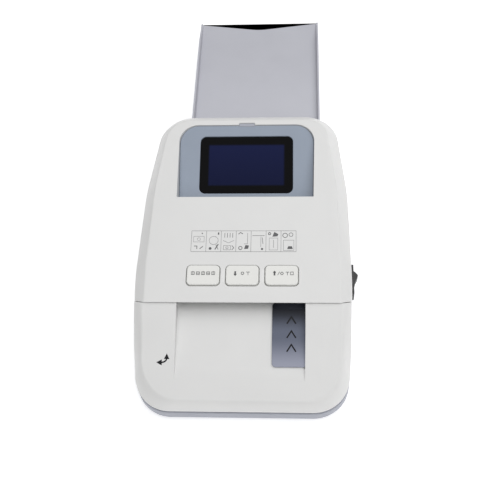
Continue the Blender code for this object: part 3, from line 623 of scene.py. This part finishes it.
def make_switch():
    """Flanged switch frame and its rocker, raised at one end."""
    y, z = SWITCH_Y, SWITCH_Z
    flange = round_rect(y - 13.0, y + 13.0, z - 6.1, z + 6.1, 1.2, 5)
    ob = prism("rocker_frame", flange, 82.7, 84.2, "black_plastic")
    join(ob, box("barrel", (68.0, 83.0), (y - 11.8, y + 11.8), (z - 4.5, z + 4.5)))
    cut(ob, box("well", (74.0, 90.0), (y - 9.4, y + 9.4), (z - 3.6, z + 3.6)))
    soften(ob, 0.3)
    stand_in(ob, "base", "black_plastic", "switch_frame")
    top = [(-8.7, -1.2), (-8.7, 0.3), (-6.5, 0.45), (-4.0, 0.8), (-2.0, 1.3), (0.0, 1.9), (1.8, 2.8),
           (3.2, 3.4), (4.0, 3.66), (4.8, 3.66), (5.6, 3.3), (7.0, 2.1), (8.3, 0.9)]
    rocker = top + [(8.4, -3.0), (3.0, -5.0), (-3.0, -5.0), (-7.6, -3.0)]
    n = len(rocker)
    verts = [(SWITCH_X + out, y + a, z + h) for h in (-3.3, 3.3) for a, out in rocker]
    faces = [list(range(n)), list(range(n, 2 * n))[::-1]]
    faces += [[i, (i + 1) % n, n + (i + 1) % n, n + i] for i in range(n)]
    paddle = solid("rocker_paddle", verts, faces, "black_plastic")
    soften(paddle, 0.35)
    stand_in(paddle, "rocker", "black_plastic", "switch_rocker")


# ---- printed marks --------------------------------------------------------------------------
class Marks:
    """Flat printed shapes gathered into one thin mesh that lies on a surface z(y)."""
    LIFT, THICK = 0.03, 0.05

    def __init__(self, height):
        self.height, self.verts, self.faces = height, [], []

    def patch(self, points):
        start = len(self.verts)
        n = len(points)
        for lift in (-0.2, self.LIFT + self.THICK):
            self.verts += [(x, y, self.height(y) + lift) for x, y in points]
        self.faces.append([start + n + i for i in range(n)])
        self.faces.append([start + i for i in range(n)][::-1])
        self.faces += [[start + i, start + (i + 1) % n, start + n + (i + 1) % n, start + n + i]
                       for i in range(n)]

    def line(self, points, width, closed=False):
        """Mitred stroke through points."""
        n = len(points)
        rims = []
        for i, (x, y) in enumerate(points):
            before = points[i - 1] if (i or closed) else points[i]
            after = points[(i + 1) % n] if (i < n - 1 or closed) else points[i]
            d1 = Vector((x - before[0], y - before[1]))
            d2 = Vector((after[0] - x, after[1] - y))
            d1 = d1.normalized() if d1.length else d2.normalized()
            d2 = d2.normalized() if d2.length else d1
            side = Vector((-d1.y - d2.y, d1.x + d2.x)).normalized()
            reach = width / 2 / max(0.4, abs(side.dot(Vector((-d1.y, d1.x)))))
            across = side * reach
            rims.append(((x + across.x, y + across.y), (x - across.x, y - across.y)))
        for i in range(n if closed else n - 1):
            (a, b), (c, d) = rims[i], rims[(i + 1) % n]
            self.patch([b, d, c, a])

    def ring(self, x, y, r, width, steps=20):
        self.line(circle(x, y, r, steps), width, True)

    def frame(self, x0, x1, y0, y1, width):
        self.line(rect(x0, x1, y0, y1), width, True)

    def finish(self, name, body, slot, mat):
        ob = solid(name, self.verts, self.faces)
        ob.data.materials.clear()
        ob.data.materials.append(mat)
        return stand_in(ob, body, slot)


def note(marks, x, y, w, h):
    """A small banknote seen flat: frame and oval."""
    marks.frame(x - w / 2, x + w / 2, y - h / 2, y + h / 2, 0.22)
    marks.ring(x, y, min(w, h) * 0.26, 0.22, 14)


def make_pictograms():
    """Strip of seven framed pictures that show how to feed and set notes."""
    strip_y, cell, x0 = STRIP_Y, STRIP_CELL, STRIP_X
    lines, dark = Marks(cover_z), Marks(cover_z)
    for k in range(8):
        lines.line([(x0 + cell * k, strip_y[0]), (x0 + cell * k, strip_y[1])], 0.28)
    for y in strip_y:
        lines.line([(x0, y), (x0 + cell * 7, y)], 0.28)
    mids = [x0 + cell * (k + 0.5) for k in range(7)]
    note(lines, mids[0], 120.5, 8.0, 4.6)
    dark.line([(mids[0] - 3.4, 114.8), (mids[0] - 1.2, 114.8), (mids[0] - 1.2, 112.4)], 0.5)
    dark.line([(mids[0] + 1.0, 112.6), (mids[0] + 3.4, 114.6)], 0.5)
    dark.patch(circle(mids[0] + 2.4, 125.3, 0.5, 10))
    lines.ring(mids[1], 119.4, 3.4, 0.3, 22)
    dark.patch(circle(mids[1] - 2.4, 112.8, 1.1, 12))
    dark.line([(mids[1] + 1.2, 112.0), (mids[1] + 3.6, 116.4)], 0.7)
    dark.line([(mids[1] + 3.6, 112.0), (mids[1] + 1.8, 116.0)], 0.4)
    dark.patch(rect(mids[1] + 3.0, mids[1] + 4.0, 124.2, 126.0))
    for k in range(4):
        dark.line([(mids[2] - 3.0 + 2 * k, 121.8), (mids[2] - 3.0 + 2 * k, 125.6)], 0.35)
    lines.line([(mids[2] - 4.2, 119.4), (mids[2], 117.4), (mids[2] + 4.2, 119.4)], 0.3)
    note(dark, mids[2] - 1.0, 113.4, 5.4, 3.4)
    dark.line([(mids[2] + 2.6, 111.6), (mids[2] + 4.2, 113.4), (mids[2] + 2.6, 115.2)], 0.4)
    lines.line([(mids[3] + 3.0, 125.6), (mids[3] + 3.0, 116.6), (mids[3] + 0.4, 116.6)], 0.3)
    dark.line([(mids[3] - 4.0, 124.6), (mids[3] - 2.4, 126.0), (mids[3] - 0.6, 124.8)], 0.5)
    dark.ring(mids[3] - 2.2, 113.2, 1.3, 0.5, 14)
    dark.patch([(mids[3] + 0.6, 112.4), (mids[3] + 3.6, 112.6), (mids[3] + 4.2, 115.2),
                (mids[3] + 1.6, 115.6)])
    dark.line([(mids[4] - 4.6, 123.4), (mids[4] + 4.6, 123.4)], 0.3)
    lines.line([(mids[4] + 1.8, 122.6), (mids[4] + 1.8, 114.0)], 0.3)
    dark.line([(mids[4] + 2.8, 121.8), (mids[4] + 3.4, 116.6)], 0.35)
    dark.patch(circle(mids[4] + 2.8, 112.4, 0.85, 12))
    dark.ring(mids[5] - 3.0, 125.0, 0.9, 0.5, 12)
    dark.patch([(mids[5] - 0.9, 122.6), (mids[5] + 2.9, 122.8), (mids[5] + 3.6, 124.6),
                (mids[5] + 0.6, 126.4)])
    lines.frame(mids[5] - 3.2, mids[5] + 3.2, 111.6, 121.4, 0.25)
    lines.line([(mids[5], 119.8), (mids[5], 113.4)], 0.3)
    dark.ring(mids[6] - 2.6, 123.6, 1.8, 0.45, 16)
    dark.ring(mids[6] + 1.8, 124.2, 1.5, 0.35, 16)
    lines.frame(mids[6] - 3.8, mids[6] + 4.0, 111.2, 119.6, 0.25)
    dark.patch([(mids[6] - 1.0, 112.4), (mids[6] + 3.2, 112.4), (mids[6] + 2.6, 114.6),
                (mids[6] - 0.2, 114.6)])
    lines.finish("picture_frames", "cover", "blue_grey", INK_PALE)
    dark.finish("picture_details", "cover", "black_plastic", INK_GREY)


def key_top(y):
    return cover_z(y) + 1.1


def make_legends():
    """Small generic signs in the upper half of each key."""
    y = SIGN_Y
    for word, x in (("left", -KEY_PITCH), ("middle", 0.0), ("right", KEY_PITCH)):
        marks = Marks(key_top)
        if word == "left":
            for k in range(5):
                cx = x - 7.6 + 3.8 * k
                marks.frame(cx - 1.1, cx + 1.1, y - 1.1, y + 1.1, 0.35)
                if k % 2 == 0:
                    marks.line([(cx, y - 1.3), (cx, y + 1.6)], 0.35)
                else:
                    marks.line([(cx - 1.4, y), (cx + 1.4, y)], 0.35)
        else:
            up = 1.0 if word == "right" else -1.0
            ax = x - 5.2
            marks.patch(rect(ax - 0.6, ax + 0.6, y - 1.6, y + 1.6))
            tip = [(ax - 1.2, y + 0.5 * up), (ax, y + 2.1 * up), (ax + 1.2, y + 0.5 * up)]
            marks.patch(tip if up < 0 else tip[::-1])
            marks.ring(x + 0.2, y, 1.0, 0.4, 14)
            marks.line([(x + 3.0, y + 1.0), (x + 5.6, y + 1.0)], 0.35)
            marks.line([(x + 4.3, y + 1.0), (x + 4.3, y - 1.4)], 0.35)
            if word == "right":
                marks.line([(x - 2.8, y - 1.3), (x - 1.6, y + 1.3)], 0.35)
                marks.frame(x + 6.6, x + 8.6, y - 1.1, y + 1.1, 0.35)
        marks.finish(f"key_sign_{word}", f"{word}_key", "black_plastic", INK_GREY)


def make_deck_arrow():
    """Curved arrow with two heads on the left of the deck: notes may go in either way."""
    marks = Marks(deck_z)
    angles = [math.pi / 2 * k / 8 for k in range(9)]
    turn = [(-57.5 + 3.8 * math.sin(a), 32.0 - 2.7 * math.cos(a)) for a in angles]
    marks.line(turn, 1.0)
    marks.patch([(-55.7, 31.6), (-51.7, 31.6), (-53.7, 35.3)])
    marks.patch([(-61.1, 29.3), (-57.2, 27.3), (-57.2, 31.3)])
    marks.finish("deck_arrow", "base", "black_plastic", INK)


# ---- carried-over nodes ---------------------------------------------------------------------
def dress(name, slot, width=0.0, angle=38.0):
    """Material and, when a width is given, small rounded edges on a CAD node."""
    ob = frame["nodes"][name]
    ob.data.materials.clear()
    ob.data.materials.append(MATERIALS[slot])
    if width:
        weld = ob.modifiers.new("weld", "WELD")
        weld.merge_threshold = 0.00001
        bevel = ob.modifiers.new("edges", "BEVEL")
        bevel.width, bevel.segments, bevel.limit_method = width * MM, 2, "ANGLE"
        bevel.angle_limit = math.radians(angle)


def dress_nodes():
    for part in frame["record"]["subparts"]:
        name = part["node"]
        width = 0.25 if not name.startswith(("display", "key_board")) else 0.0
        dress(name, part["material_slot"], width)


# ---- room -----------------------------------------------------------------------------------
def make_camera():
    """Looks down over the nose from the right, a little rolled."""
    yaw, pitch, roll = math.radians(6.35), math.radians(57.92), math.radians(-5.35)
    right = Vector((math.cos(yaw), math.sin(yaw), 0.0))
    level = Vector((-math.sin(yaw), math.cos(yaw), 0.0))
    ahead = level * math.cos(pitch) - Vector((0, 0, 1)) * math.sin(pitch)
    up = right.cross(ahead)
    side = right * math.cos(roll) + up * math.sin(roll)
    top = up * math.cos(roll) - right * math.sin(roll)
    data = bpy.data.cameras.new("view")
    data.lens = 58.25
    camera = bpy.data.objects.new("view", data)
    place = Matrix((side, top, -ahead)).transposed().to_4x4()
    place.translation = Vector((0.0382, -0.4025, 0.5712))
    camera.matrix_world = place
    bpy.context.scene.collection.objects.link(camera)
    bpy.context.scene.camera = camera


def area_light(name, place, target, size, power):
    data = bpy.data.lights.new(name, "AREA")
    data.shape, data.size, data.energy = "DISK", size, power
    lamp = bpy.data.objects.new(name, data)
    lamp.location = place
    lamp.rotation_euler = (Vector(target) - Vector(place)).to_track_quat("-Z", "Y").to_euler()
    bpy.context.scene.collection.objects.link(lamp)


def make_room():
    """Pale floor, even white surroundings, a large overhead softbox and a weaker one in front."""
    world = bpy.data.worlds.new("studio")
    world.use_nodes = True
    sky = world.node_tree.nodes["Background"]
    sky.inputs["Color"].default_value = (1.0, 1.0, 1.0, 1.0)
    sky.inputs["Strength"].default_value = 0.36
    bpy.context.scene.world = world
    bpy.context.scene.view_settings.view_transform = "Standard"
    area_light("key_light", (0.35, 0.25, 1.5), (0.0, 0.0, 0.0), 2.4, 19.0)
    area_light("front_fill", (0.3, -1.1, 0.9), (0.0, 0.0, 0.02), 1.1, 3.2)
    bpy.ops.mesh.primitive_plane_add(size=6)
    floor = bpy.context.object
    floor.name = "floor"
    mat = bpy.data.materials.new("studio_floor")
    mat.use_nodes = True
    shader = mat.node_tree.nodes["Principled BSDF"]
    shader.inputs["Base Color"].default_value = (0.93, 0.93, 0.93, 1.0)
    shader.inputs["Roughness"].default_value = 0.8
    shader.inputs["Emission Color"].default_value = (1.0, 1.0, 1.0, 1.0)
    shader.inputs["Emission Strength"].default_value = 0.42
    floor.data.materials.append(mat)


make_camera()
dress_nodes()
make_pan()
make_lower_housing()
make_cover()
make_display()
make_keys()
make_legends()
make_pictograms()
make_deck_arrow()
make_guide()
make_tray()
make_switch()
make_room()
